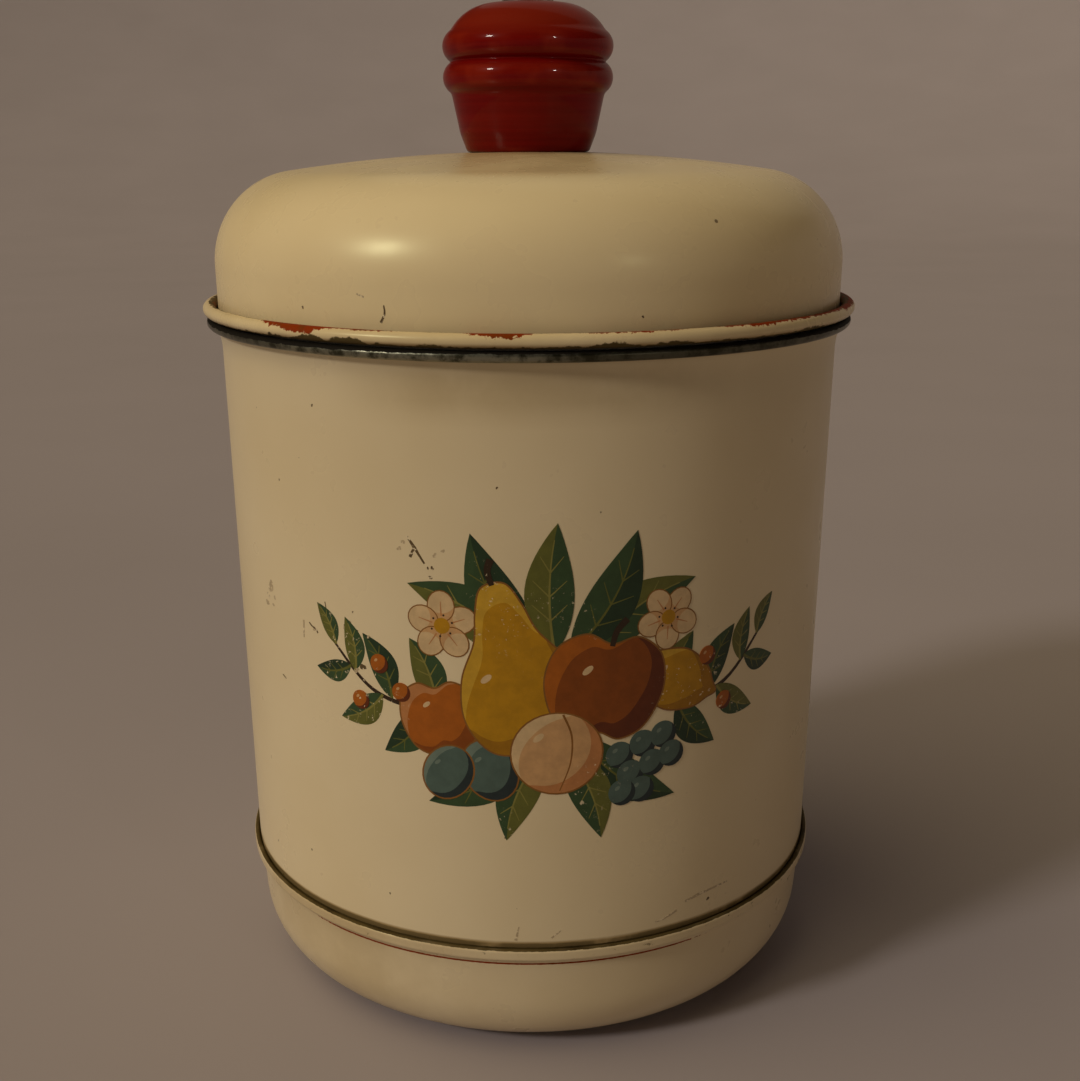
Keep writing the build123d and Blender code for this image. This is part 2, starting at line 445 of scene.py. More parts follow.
def ink(name, colour, chipped=(0.50, 0.62)):
    """A printed colour or a scar. Chipped says how much of it is broken through to the enamel, and where."""
    patchy, deep_chip = chipped
    f = Finish(name)
    deep = tuple(0.82 * c for c in colour)
    tone = f.mix(f.step(f.noise(330, 4, 0.65), 0.3, 0.7), colour, deep)
    chip = f.step(f.noise(1100, 3, 0.7), deep_chip, deep_chip + 0.06)
    chip = f.math("MULTIPLY", f.step(f.noise(34, 2), patchy, patchy + 0.12), chip)
    f.set(Base_Color=f.mix(chip, tone, CREAM[0]), Roughness=f.blend(f.noise(300, 2), 0.30, 0.46))
    f.set(Specular_IOR_Level=0.35)
    f.relief(f.math("SUBTRACT", f.noise(800, 2), f.math("MULTIPLY", chip, 2.0)), 0.00001)
    return f.material


jar_enamel = enamel("jar_enamel", CREAM, 0.27)
lid_enamel = enamel("lid_enamel", LID_CREAM_PAINTED_LIGHTER, 0.25)
tin = tinned("tin")
rim_steel = worn_rim("rim_steel")
knob_red = red_gloss("knob_red")
plated = nickel("plated")


# Jar wall. Handling has left it a little out of round, and its lapped seam stands proud at the back.

def wall_wave(z, angle):
    a = math.radians(angle)
    held = between(z, 44, 118, 14)
    return held * (0.07 * math.sin(2 * a + 0.5) + 0.04 * math.sin(3 * a) + 0.025 * math.sin(5 * a + 1))


def lap_height(r, z, angle):
    if r < JAR_RADIUS - 0.1 or not PAN_TOP + 0.5 < z < FLARE_START:
        return 0.0
    return SHEET * min(1.0, max(0.0, (angle - LAP_START) / (LAP_RAMP - LAP_START))) * (angle <= LAP_END)


def wall_shape(r, z, angle):
    return r + wall_wave(z, angle) + lap_height(r, z, angle), z


def wall_dirt_and_shade(r, z, angle):
    if math.dist((r, z), BEAD) < BEAD_REACH:
        # On the bead's upper face, under the lid's curl, this is black dirt together with painted shade of
        # the gap between the two.
        turn = turn_about(BEAD, r, z)
        return past(turn, 24 + 12 * math.sin(math.radians(3 * angle + 50)), 40) * between(turn, 0, 80, 45)
    return past(PAN_TOP, z, 0.5)


def wall_stain_and_shade(r, z, angle):
    if math.dist((r, z), BEAD) < BEAD_REACH:
        return max(0.8 * between(angle, 12, 80, 16), 0.55 * between(angle, -76, -46, 10), 0.15)
    lap_edge = 0.8 * between(angle % 360, LAP_END - 0.1, LAP_END + 0.1, 0.3)
    # Painted shade: a soft darker band across the front of the wall a little below the rim, standing for the
    # lid's shadow.
    painted_rim_shade = 0.48 * between(z, 134.5, 138.5, 4.5) * between(angle, -15, 18, 18)
    grimy = 2.3 * between(z, 27, 28.2, 0.8)
    return max(lap_edge, painted_rim_shade, grimy)


# Heights along the wall, close together at the seam above the pan, where the dirt is
WALL_HEIGHTS = [25.3, 26.4, 27.0, 27.4, 27.7, 28.0, 28.02, 28.2, 28.4, 28.6, 28.8, 29.0, 30.0, FLARE_START]
wall_line = (
    [(JAR_RADIUS - HALF, z) for z in WALL_HEIGHTS]
    + arc((JAR_RADIUS - HALF + FLARE_BEND, FLARE_START), FLARE_BEND, 180, 155, 10)
    + arc(BEAD, BEAD_BEND, 155, -130, 32)
)
wall_outside, wall_inside = faces_of_sheet(spaced(wall_line, SHEET_STEP))
lap_angles = [
    LAP_START - 0.02, LAP_START, LAP_RAMP, LAP_RAMP + 0.05,
    LAP_END - 0.05, LAP_END, LAP_END + 0.02,
]
jar_wall = turned(
    "jar_wall",
    wall_outside + wall_inside[::-1],
    [0] * len(wall_outside) + [2 if math.dist(p, BEAD) < BEAD_REACH else 1 for p in wall_inside[::-1]],
    [jar_enamel, tin, rim_steel],
    "jar",
    angles=sorted(round_angles(FACETS) + lap_angles),
    shape=wall_shape,
    marks={"dirt": wall_dirt_and_shade, "stain_and_shade": wall_stain_and_shade},
)
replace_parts(jar_wall, "body_wall")


# Bottom pan with its folded lip: dark worn top edge, cream band, and a red line in the bend below it

def pan_dirt(r, z, angle):
    if z > LIP_HIGH:
        return past(turn_about((LIP_MIDDLE, LIP_HIGH), r, z), 38, 45)
    chips = 0.33 * between(z, 25.2, 27, 0.3)
    foot = 0.4 * between(r, 41, 48, 3) * (z < 0.6)
    return max(chips, foot)


def pan_red(r, z, angle):
    return between(z, 23.52, 23.84, 0.14) * between(angle, -36, 24, 16) * (r > 62)


def pan_stain_and_shade(r, z, angle):
    # Painted shade on the pan's left, where the light falls off; the pan is also darker towards the bottom
    # and along the lip.
    painted_shade_left = 0.34 * between(angle, -80, -28, 26)
    return 0.1 + painted_shade_left + 0.15 * between(z, 24.4, 27, 1.2) + 0.4 * between(z, -1, 1.2, 5)


pan_corners = [
    (0, PAN_FLOOR), (38.0, PAN_FLOOR), (40.6, HALF), (61.753, HALF),
    (63.0, JOGGLE), (63.8, 25.0), (63.8, LIP_LOW),
]
pan_line = spaced(rounded(pan_corners, [1.4, 1.4, PAN_BEND, BEND, BEND], 14), SHEET_STEP)
pan_outside, pan_inside = faces_of_sheet(pan_line)
bend = next(k for k, p in enumerate(pan_outside) if p[0] > 60 and p[1] > JOGGLE - 0.8)
pan_outside = pan_outside[: bend - 1] + spaced([p for p in pan_outside[bend - 1 :] if p[1] < 25.0], 0.12)
lip = arc((LIP_MIDDLE, LIP_LOW), LIP_ROUND, -101, 0, 8)
lip += arc((LIP_MIDDLE, LIP_HIGH), LIP_ROUND, 0, 180, 16)
pan_outside += spaced(lip, 0.3)
jar_pan = turned(
    "jar_pan",
    pan_outside + pan_inside[::-1],
    [0] * len(pan_outside) + [1] * len(pan_inside),
    [jar_enamel, tin],
    "jar",
    closed=False,
    marks={"dirt": pan_dirt, "red": pan_red, "stain_and_shade": pan_stain_and_shade},
)
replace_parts(jar_pan, "bottom_pan")


# Lid: dome, gutter and curled rim, where red shows through the cream

def lid_wave(z, angle):
    a = math.radians(angle)
    held = between(z, 158, 171.5, 5)
    return held * (0.06 * math.sin(2 * a + 1.1) + 0.05 * math.sin(3 * a + 2.0))


def lid_shape(r, z, angle):
    return r, z + lid_wave(z, angle)


# Runs on the curl, from and to an angle with a softness: where red shows, and how far down the front in
# degrees, and where dark metal shows, and how far up
RED_RUNS = [
    (-44.5, -41, 3, 76), (-40, -34, 3, 110), (-33.5, -22, 4, 50), (-6.5, -2, 4.5, 84), (10, 22, 4, 46),
    (31, 35, 3, 54), (35.5, 40, 2.5, 76), (40, 66, 5, 56), (66, 128, 10, 78), (-150, -100, 10, 64),
]
WORN_RUNS = [
    (-43.5, -41.5, 1.2, 38), (-37, -32.5, 1.4, 62), (-30.5, -25.6, 1.6, 60), (-23.4, -21.4, 1.2, 30),
    (-15, -13.5, 1.0, 34), (3, 8, 2.0, 26), (10, 15, 2.0, 46), (19.5, 24, 2.0, 38), (29, 33, 1.6, 24),
    (47, 54, 2.0, 36), (88, 96, 2.0, 44), (140, 152, 3.0, 40), (-82, -74, 2.0, 40), (-132, -120, 3.0, 46),
]


def run_depth(runs, angle):
    return max(deep * between(angle, start, end, soft) for start, end, soft, deep in runs)


def lid_red(r, z, angle):
    turn = turn_about(RIM, r, z) % 360
    if math.dist((r, z), RIM) > CURL_REACH or turn > 215:
        return 0.0
    return past(turn, 116 - run_depth(RED_RUNS, angle), 70)


def lid_dirt(r, z, angle):
    if math.dist((r, z), RIM) > CURL_REACH:
        return 0.5 * between(z, 143.6, 144.2, 0.5) * (r > LID_RADIUS - 0.1)
    turn = turn_about(RIM, r, z)
    groove = 0.55 * between(turn % 360, 88, 210, 8)
    worn = past(max(run_depth(WORN_RUNS, angle) - 66, -52), turn, 100) * between(turn, -100, 90, 10)
    return max(groove, worn)


def lid_stain_and_shade(r, z, angle):
    aside = r * math.sin(math.radians(angle))
    # Painted reflection and shade of the knob: a darker patch on the crown in front of the knob, about the
    # knob's width across.
    painted_knob_reflection = 0.4 * between(aside, -13, 15, 9) * between(r, 0, 47, 7) * between(angle, -50, 50, 40)
    on_curl = math.dist((r, z), RIM) < CURL_REACH
    # Painted shade with some grime: the lower part of the curl darkens as it turns under, going olive where
    # strongest.
    under_curl_shade_and_grime = 1.1 * between(turn_about(RIM, r, z), -100, -48, 34) * on_curl
    return 0.26 * between(z, 143, 146, 3) + max(painted_knob_reflection, under_curl_shade_and_grime, 0.75 * between(r, 0, 15, 18))


crown_start = math.degrees(math.asin(SEAT_RADIUS / (CROWN_RADIUS - HALF)))
crown_end = math.degrees(math.asin(LID_CORNER[0] / (CROWN_RADIUS - LID_BEND)))
lid_line = spaced(
    [(HOLE, SEAT - HALF)]
    + arc((0, CROWN_CENTRE), CROWN_RADIUS - HALF, 90 - crown_start, 90 - crown_end, 8)
    + arc(LID_CORNER, LID_BEND - HALF, 90 - crown_end, 0, 32)
    + arc((LID_RADIUS - HALF + BEND, RIM[1] - CURL + BEND), BEND, 180, 270, 8)
    + arc(RIM, CURL, -90, 195, 34),
    LID_STEP,
)
lid_inside, lid_outside = faces_of_sheet(lid_line)
lid_cap = turned(
    "lid_cap",
    lid_outside + lid_inside[::-1],
    [0] * len(lid_outside) + [0 if r > LID_RADIUS and z < 147 else 1 for r, z in lid_inside[::-1]],
    [lid_enamel, tin],
    "lid",
    shape=lid_shape,
    marks={"red": lid_red, "dirt": lid_dirt, "stain_and_shade": lid_stain_and_shade},
)
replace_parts(lid_cap, "lid_dome")

# Collar inside the lid
collar_corners = [(63.0, 151.5), (63.0, 146.5), (62.45, 145.1), (62.45, 133.5), (61.75, 131.9)]
collar_line = spaced(rounded(collar_corners, [BEND] * 3, 6), SHEET_STEP)
collar_inside, collar_outside = faces_of_sheet(collar_line)
collar = turned(
    "collar",
    collar_outside + collar_inside[::-1],
    [0] * (2 * len(collar_line)),
    [tin],
    "lid",
    marks={"dirt": lambda r, z, angle: 0.4 * between(z, 144, 146.5, 1.0)},
)
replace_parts(collar, "lid_collar")

# Knob, its creases filled a little by the paint
ring_turn = math.degrees(math.asin(RING_HALF / RING_RADIUS))
dome_turn = math.degrees(math.asin(DOME_REACH / DOME_RADIUS))
knob_line = [(HOLE, SEAT), (KNOB_FOOT, SEAT), (KNOB_WAIST, SEAT + FOOT_HEIGHT)]
for height in RING_HEIGHTS:
    knob_line += arc((RING_CENTRE, SEAT + height), RING_RADIUS, -ring_turn, ring_turn, 24)
knob_line += arc((DOME_CENTRE, KNOB_TOP - DOME_RADIUS), DOME_RADIUS, 90 - dome_turn, 90, 24)
knob_line.append((HOLE, KNOB_TOP))
knob_line = softened(spaced(knob_line, 0.25), 7)


def knob_crest(r, z, angle):
    return max(between(r, 16.6, 17, 0.35), between(z, SEAT, SEAT + 0.5, 0.7))


# Where the painted sheen lies: the top of the dome and the top of the lower ring.
def knob_painted_sheen(r, z, angle):
    top = 0.85 * between(z, KNOB_TOP - 4, KNOB_TOP, 4)
    ring = 0.3 * between(z, SEAT + 14.5, SEAT + 15.6, 1.2)
    return max(top, ring)


knob_turning = turned(
    "knob_turning",
    knob_line,
    [0] * len(knob_line),
    [knob_red],
    "lid",
    angles=round_angles(144),
    marks={"crest": knob_crest, "painted_sheen": knob_painted_sheen},
)
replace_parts(knob_turning, "knob")


# Washers, and the slotted screw with its threaded end

def washer(name, bottom, top, radius):
    edge = 0.15
    outline = [
        (HOLE, bottom), (radius - edge, bottom), (radius, bottom + edge),
        (radius, top - edge), (radius - edge, top), (HOLE, top),
    ]
    return turned(name, outline, [0] * 6, [plated], "lid", angles=round_angles(72))


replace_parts(washer("top_washer", KNOB_TOP, WASHER_TOP, WASHER_RADIUS), "knob_washer")
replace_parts(washer("under_washer", NUT_TOP, SEAT - SHEET, LID_WASHER_RADIUS), "lid_washer")


def thread(r, z, angle):
    if z > NUT_TOP or z < SCREW_END + 0.2 or r < SCREW_RADIUS - 0.1:
        return r, z
    turn = (z / THREAD_PITCH - angle / 360) % 1
    return r - THREAD_DEPTH * abs(2 * turn - 1), z


head_end = math.degrees(math.asin(HEAD_REACH / HEAD_RADIUS))
shank = spaced([(SCREW_RADIUS, NUT_TOP + 0.2), (SCREW_RADIUS, SCREW_END + 0.25)], THREAD_STEP)
screw_line = (
    [(0, HEAD_TOP)]
    + arc((0, HEAD_TOP - HEAD_RADIUS), HEAD_RADIUS, 90, 90 - head_end, 14)[1:]
    + [(SCREW_RADIUS, WASHER_TOP)]
    + shank
    + [(SCREW_RADIUS - SCREW_TIP, SCREW_END), (0, SCREW_END)]
)
screw = turned(
    "screw",
    screw_line,
    [0] * len(screw_line),
    [plated],
    "lid",
    angles=round_angles(48),
    closed=False,
    shape=thread,
)
cutter_height = 4.0
cutter_middle = HEAD_TOP - SLOT_DEPTH + cutter_height / 2
bpy.ops.mesh.primitive_cube_add(size=1, location=(0, 0, cutter_middle * MM))
cutter = bpy.context.object
cutter.scale = (10 * MM, SLOT_WIDTH * MM, cutter_height * MM)
slot_cut = screw.modifiers.new("slot", "BOOLEAN")
slot_cut.object = cutter
slot_cut.solver = "EXACT"
bpy.context.view_layer.update()
slotted = bpy.data.meshes.new_from_object(screw.evaluated_get(bpy.context.evaluated_depsgraph_get()))
screw.modifiers.clear()
screw.data = slotted
bpy.data.objects.remove(cutter)
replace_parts(screw, "knob_screw")

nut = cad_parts["knob_nut"]
nut.data.materials.clear()
nut.data.materials.append(plated)

# Thin patches laid on the round walls: the print on the front, and scratches. They are cut at every 1.5 mm
# across, each lies a little higher than the last, and their roots are below the surface.
LAID_CUT = 1.5
LAID_LIFT = 0.012
LAID_STEP = 0.0003
LAID_ROOT = 0.03


class Laid:
    """Flat patches in millimetres across and up from a point on a wall, one over the other."""

    def __init__(self, angle, height, radius):
        self.angle = angle
        self.height = height
        self.radius = radius
        self.patches = []

    def fill(self, colour, outline):
        flat = [Vector((u, v, 0)) for u, v in outline]
        self.patches.append((colour, [tuple(p) for p in flat], tessellate_polygon([flat])))

    def stroke(self, colour, line, start, end, closed=False):
        """A line that goes from one width to the other."""
        line = [Vector(p) for p in line]
        edges = []
        for k, point in enumerate(line):
            ahead = line[(k + 1) % len(line)] if closed or k + 1 < len(line) else point
            behind = line[k - 1] if closed or k else point
            run = (ahead - behind).normalized()
            half = (start + (end - start) * k / (len(line) - 1)) / 2
            across = Vector((-run.y, run.x)) * half
            edges += [(*(point + across), 0.0), (*(point - across), 0.0)]
        count = len(line) if closed else len(line) - 1
        size = len(edges)
        faces = [(2 * k, 2 * k + 1, (2 * k + 3) % size, (2 * k + 2) % size) for k in range(count)]
        self.patches.append((colour, edges, faces))

    def point(self, u, v, lift):
        """Place on the wall, along the chord between two cuts so that patches lie flat on each other."""
        z = self.height + v
        cut = math.floor(u / LAID_CUT)
        ends = []
        for k in (cut, cut + 1):
            angle = self.angle + math.degrees(k * LAID_CUT / JAR_RADIUS)
            r = self.radius(z, angle) + lift
            a = math.radians(angle)
            ends.append(Vector((r * math.sin(a), -r * math.cos(a), z)))
        return ends[0].lerp(ends[1], u / LAID_CUT - cut) * MM

    def lay(self, name, inks, body):
        order = list(inks)
        layers = bmesh.new()
        for layer, (colour, outline, faces) in enumerate(self.patches):
            flat = bmesh.new()
            corners = [flat.verts.new(p) for p in outline]
            for face in faces:
                flat.faces.new([corners[k] for k in face])
            across = [p[0] for p in outline]
            for k in range(math.ceil(min(across) / LAID_CUT), math.floor(max(across) / LAID_CUT) + 1):
                parts = flat.verts[:] + flat.edges[:] + flat.faces[:]
                bmesh.ops.bisect_plane(flat, geom=parts, plane_co=(k * LAID_CUT, 0, 0), plane_no=(1, 0, 0))
            lift = LAID_LIFT + LAID_STEP * layer
            top = {c: layers.verts.new(self.point(c.co.x, c.co.y, lift)) for c in flat.verts}
            root = {c: layers.verts.new(self.point(c.co.x, c.co.y, -LAID_ROOT)) for c in flat.verts}
            skins = [[side[c] for c in face.verts] for face in flat.faces for side in (top, root)]
            for edge in flat.edges:
                if edge.is_boundary:
                    one, other = edge.verts
                    skins.append([top[one], top[other], root[other], root[one]])
            for skin in skins:
                layers.faces.new(skin).material_index = order.index(colour)
            flat.free()
        mesh = bpy.data.meshes.new(name)
        layers.to_mesh(mesh)
        layers.free()
        finish_mesh(name, mesh, [inks[colour] for colour in order], body, 60)


def jar_radius(z, angle):
    return JAR_RADIUS + wall_wave(z, angle)


def lid_radius(z, angle):
    return LID_RADIUS


# Printed spray of fruit on the front
spray = Laid(angle=4.0, height=81.0, radius=jar_radius)
INKS = {
    "mustard": (0.50, 0.25, 0.006),
    "gold": (0.62, 0.36, 0.030),
    "ochre": (0.36, 0.165, 0.005),
    "orange": (0.42, 0.115, 0.008),
    "terracotta": (0.26, 0.066, 0.006),
    "brick": (0.13, 0.028, 0.006),
    "peach": (0.62, 0.36, 0.16),
    "blush": (0.52, 0.22, 0.075),
    "petal": (0.70, 0.50, 0.27),
    "leaf": (0.135, 0.140, 0.026),
    "leaf_light": (0.24, 0.22, 0.05),
    "leaf_deep": (0.040, 0.080, 0.030),
    "leaf_dark": (0.020, 0.045, 0.020),
    "teal": (0.085, 0.135, 0.115),
    "teal_light": (0.17, 0.23, 0.19),
    "navy": (0.022, 0.034, 0.036),
    "bark": (0.040, 0.022, 0.010),
    "line": (0.26, 0.11, 0.020),
}


def curve(points, closed=False, steps=7):
    """A smooth line through the points."""
    points = [Vector(p) for p in points]
    count = len(points)
    out = []
    for k in range(count if closed else count - 1):
        if closed:
            a, b, c, d = (points[(k + j) % count] for j in (-1, 0, 1, 2))
        else:
            a, b, c, d = (points[min(max(k + j, 0), count - 1)] for j in (-1, 0, 1, 2))
        for s in range(steps):
            t = s / steps
            point = 2 * b + (c - a) * t + (2 * a - 5 * b + 4 * c - d) * t * t
            point += (3 * b - a - 3 * c + d) * t**3
            out.append(point / 2)
    return out if closed else out + [points[-1]]


def placed(shape, centre, size, turn):
    """A closed smooth shape of about unit size, scaled, turned and moved."""
    spin = Matrix.Rotation(math.radians(turn), 2)
    return [spin @ Vector((p.x * size[0], p.y * size[1])) + Vector(centre) for p in curve(shape, closed=True)]


def oval(centre, wide, tall, turn=0, count=28):
    spin = Matrix.Rotation(math.radians(turn), 2)
    turns = [math.tau * k / count for k in range(count)]
    return [spin @ Vector((math.cos(a) * wide, math.sin(a) * tall)) + Vector(centre) for a in turns]


def crescent(colour, outline, centre, towards, spread, depth):
    """A band of colour along one side of an outline, widest in the middle."""
    centre = Vector(centre)
    turns, outer, inner = [], [], []
    for point in outline:
        way = point - centre
        turn = math.remainder(math.atan2(way.y, way.x) - math.radians(towards), math.tau)
        turns.append((turn, way))
    for turn, way in sorted(turns, key=lambda pair: pair[0]):
        share = math.degrees(abs(turn)) / spread
        if share < 1:
            outer.append(centre + way)
            inner.append(centre + way * (1 - depth * math.cos(share * math.pi / 2)))
    spray.fill(colour, outer + inner[-2:0:-1])


def leaf(base, tip, width, bend, colours=("leaf", "leaf_deep", "leaf_light")):
    """A pointed leaf in two tones, with its ribs."""
    plain, shaded, rib_colour = colours
    base, tip = Vector(base), Vector(tip)
    along = tip - base
    across = Vector((-along.y, along.x)).normalized()
    rib, left, right = [], [], []
    for k in range(17):
        t = k / 16
        middle = base + along * t + across * bend * 4 * t * (1 - t)
        half = width / 2 * max(0.0, math.sin(math.pi * t**0.85)) ** 0.9
        rib.append(middle)
        left.append(middle + across * half)
        right.append(middle - across * half)
    spray.fill(plain, left + right[-2:0:-1])
    spray.fill(shaded, rib + right[-2:0:-1])
    spray.stroke(rib_colour, rib[:-2], 0.55, 0.2)
    for k in (4, 7, 10):
        spray.stroke(rib_colour, [rib[k], rib[k + 2].lerp(left[k + 2], 0.72)], 0.28, 0.12)
        spray.stroke(rib_colour, [rib[k], rib[k + 2].lerp(right[k + 2], 0.72)], 0.28, 0.12)


def fruit(outline, centre, plain, shaded, light, glint="petal"):
    """A fruit with a shaded side, a lighter side, a highlight and a thin outline."""
    centre = Vector(centre)
    spray.fill(plain, outline)
    crescent(light, outline, centre, 140, 80, 0.30)
    crescent(shaded, outline, centre, -40, 100, 0.36)
    reach = min((p - centre).length for p in outline)
    spray.fill(glint, oval(centre + Vector((-0.42, 0.40)) * reach, 0.15 * reach, 0.075 * reach, 40, 14))
    spray.stroke("line", outline, 0.32, 0.32, closed=True)


def berry(centre, radius, plain, shaded, glint):
    outline = oval(centre, radius, radius, 0, 22)
    spray.fill(plain, outline)
    crescent(shaded, outline, centre, -40, 100, 0.45)
    lit = Vector(centre) + Vector((-0.35, 0.35)) * radius
    spray.fill(glint, oval(lit, 0.22 * radius, 0.14 * radius, 40, 10))


def blossom(centre, radius, turn):
    """Five petals round a gold eye."""
    for k in range(5):
        way = math.radians(turn + 72 * k)
        middle = Vector(centre) + Vector((math.cos(way), math.sin(way))) * radius * 0.58
        outline = oval(middle, radius * 0.46, radius * 0.40, turn + 72 * k, 20)
        spray.fill("petal", outline)
        crescent("peach", outline, middle, turn + 72 * k + 180, 95, 0.55)
        spray.stroke("line", outline, 0.22, 0.22, closed=True)
        tip = Vector(centre) + Vector((math.cos(way), math.sin(way))) * radius * 0.72
        spray.stroke("blush", [Vector(centre).lerp(tip, 0.4), tip], 0.3, 0.12)
    spray.fill("mustard", oval(centre, radius * 0.24, radius * 0.24, 0, 16))
    for k in range(6):
        way = math.radians(turn + 60 * k)
        dot = Vector(centre) + Vector((math.cos(way), math.sin(way))) * radius * 0.32
        spray.fill("bark", oval(dot, 0.22, 0.22, 0, 8))


PEAR = [
    (0, -0.50), (0.24, -0.46), (0.36, -0.26), (0.32, -0.02), (0.19, 0.18), (0.14, 0.34), (0.07, 0.47),
    (-0.07, 0.47), (-0.14, 0.34), (-0.19, 0.18), (-0.32, -0.02), (-0.36, -0.26), (-0.24, -0.46),
]
APPLE = [
    (0, -0.42), (0.18, -0.47), (0.38, -0.34), (0.50, -0.02), (0.44, 0.29), (0.22, 0.44), (0, 0.37),
    (-0.22, 0.44), (-0.44, 0.29), (-0.50, -0.02), (-0.38, -0.34), (-0.18, -0.47),
]
LEMON = [
    (0.60, 0), (0.50, 0.10), (0.34, 0.25), (0, 0.36), (-0.34, 0.25), (-0.50, 0.10), (-0.60, 0),
    (-0.50, -0.10), (-0.34, -0.25), (0, -0.36), (0.34, -0.25), (0.50, -0.10),
]
DEEP = ("leaf_deep", "leaf_dark", "leaf")
GRAPES = [
    (12.4, -13.2), (17.0, -11.4), (21.2, -10.2), (14.6, -17.2),
    (19.0, -15.6), (16.8, -20.8), (23.0, -14.4), (13.0, -21.0),
]
BERRIES = [(-29.0, -1.5), (-33.5, 3.5), (30.5, 4.0), (35.0, -6.0), (-38.0, -4.5)]

for side in (-1, 1):
    spray.stroke("bark", curve([(12 * side, -1), (24 * side, -4), (35 * side, -2), (44 * side, 6)]), 1.3, 0.5)
    leaf((22 * side, -3.6), (27 * side, 9.5), 6.5, 1.2 * side)
    leaf((24 * side, -4), (33 * side, -14), 6.5, -1.4 * side, DEEP)
    leaf((31 * side, -3), (37 * side, 9), 5.8, 1.4 * side, DEEP)
    leaf((33 * side, -2.6), (43 * side, -9), 5.6, -1.2 * side)
    leaf((39 * side, 1.2), (41 * side, 11.5), 4.6, 1.0 * side)
    leaf((40 * side, 2), (49 * side, 0), 4.4, -1.0 * side, DEEP)
    leaf((43.5 * side, 5.6), (48 * side, 13), 4.0, 0.8 * side)
    leaf((5 * side, -9), (24 * side, -23), 8.6, -2.6 * side, DEEP)
    leaf((2 * side, -12), (9 * side, -30), 8.0, 1.6 * side)
    leaf((6 * side, 6), (27 * side, 20), 9.2, 3.0 * side)
    leaf((3 * side, 8), (15 * side, 30), 9.4, -2.2 * side, DEEP)
leaf((0, 8), (0.5, 32), 9.0, 1.2)
blossom((-20.5, 12.5), 6.4, 20)
blossom((21.5, 13.0), 6.0, 52)
fruit(placed(LEMON, (23.5, 0.5), (17, 17), -24), (23.5, 0.5), "mustard", "ochre", "gold")
fruit(placed(APPLE, (-21.5, -5.5), (15.5, 15.5), 8), (-21.5, -5.5), "orange", "terracotta", "blush")
fruit(oval((-12.0, -15.5), 5.2, 6.4, 24), (-12.0, -15.5), "teal", "navy", "teal_light", "teal_light")
fruit(oval((-20.0, -16.5), 4.8, 5.8, -30), (-20.0, -16.5), "teal", "navy", "teal_light", "teal_light")
fruit(placed(PEAR, (-7.5, 5.0), (31, 34), 13), (-9.0, -0.5), "mustard", "ochre", "gold")
spray.stroke("bark", curve([(-11.2, 20.6), (-12.0, 23.2), (-11.4, 25.4)]), 1.0, 1.4)
fruit(placed(APPLE, (9.5, 1.0), (23, 22), -8), (9.5, 1.0), "terracotta", "brick", "orange")
spray.stroke("bark", curve([(10.6, 8.6), (11.4, 11.4), (13.4, 13.6)]), 1.0, 1.3)
fruit(oval((0.5, -12.0), 8.6, 8.2, 0, 36), (0.5, -12.0), "peach", "blush", "petal")
spray.stroke("line", curve([(1.6, -4.2), (3.2, -8.5), (3.0, -14), (1.0, -19.6)]), 0.45, 0.2)
for place in GRAPES:
    berry(place, 2.7, "teal", "navy", "teal_light")
for place in BERRIES:
    berry(place, 1.9, "orange", "brick", "peach")

spray.lay("wall_print", {name: ink(name, colour) for name, colour in INKS.items()}, "jar")

# Scratches and rubbed spots through the enamel, at an angle and a height
MARKS = {
    "scar": ink("scar", (0.13, 0.085, 0.036), (0.0, 0.54)),
    "rub": ink("rub", (0.54, 0.425, 0.265), (0.0, 0.53)),
}


def scratch(sheet, colour, places, start, end):
    across = math.radians(JAR_RADIUS)
    sheet.stroke(colour, curve([(angle * across, z) for angle, z in places], steps=4), start, end)


def dab(sheet, colour, angle, z, size):
    """A small spot with an uneven outline."""
    middle = Vector((math.radians(angle) * JAR_RADIUS, z))
    ring = []
    for k in range(14):
        way = math.tau * k / 14
        reach = size * (0.8 + 0.2 * math.sin(2 * way + z) + 0.12 * math.sin(3 * way + angle))
        ring.append(middle + Vector((math.cos(way), math.sin(way))) * reach)
    sheet.fill(colour, ring)


jar_scars = Laid(angle=0, height=0, radius=jar_radius)
scratch(jar_scars, "scar", [(-20.2, 109.8), (-19.6, 108.9), (-18.8, 107.6)], 0.3, 0.7)
scratch(jar_scars, "scar", [(-18.8, 107.7), (-18.2, 106.6), (-17.2, 104.9)], 0.6, 0.35)
scratch(jar_scars, "scar", [(-19.0, 107.5), (-19.3, 106.8), (-19.7, 105.9)], 0.5, 0.6)
for angle, z, size in (
    (-15.9, 104.2, 0.4), (-16.6, 104.1, 0.3), (-16.3, 102.4, 0.45), (-21.5, 107.4, 0.3), (-31.9, 91.6, 0.4),
    (-32.9, 90.7, 0.45), (-32.3, 88.9, 0.35), (-30.4, 90.2, 0.3), (-29.7, 87.8, 0.35), (-31.2, 93.7, 0.25),
    (34.2, 31.9, 0.45), (-5.1, 119.3, 0.25), (-37.7, 131.4, 0.3), (11.2, 114.7, 0.25), (-26.0, 36.0, 0.25),
):
    dab(jar_scars, "scar", angle, z, size)
for angle, z, size in (
    (-32.2, 90.0, 1.3), (-28.1, 89.4, 0.5), (-40.2, 88.4, 0.7), (-53.4, 93.6, 1.4), (-54.6, 91.4, 0.7),
    (-55.2, 89.8, 0.8), (-52.2, 91.6, 0.5), (-52.9, 89.9, 0.5), (-20.9, 108.6, 0.5), (-15.4, 106.6, 0.5),
    (-21.6, 107.3, 0.5), (-14.0, 107.5, 0.4), (-25.6, 85.4, 0.7), (118.0, 61.0, 1.2), (92.0, 117.0, 0.9),
):
    dab(jar_scars, "rub", angle, z, size)
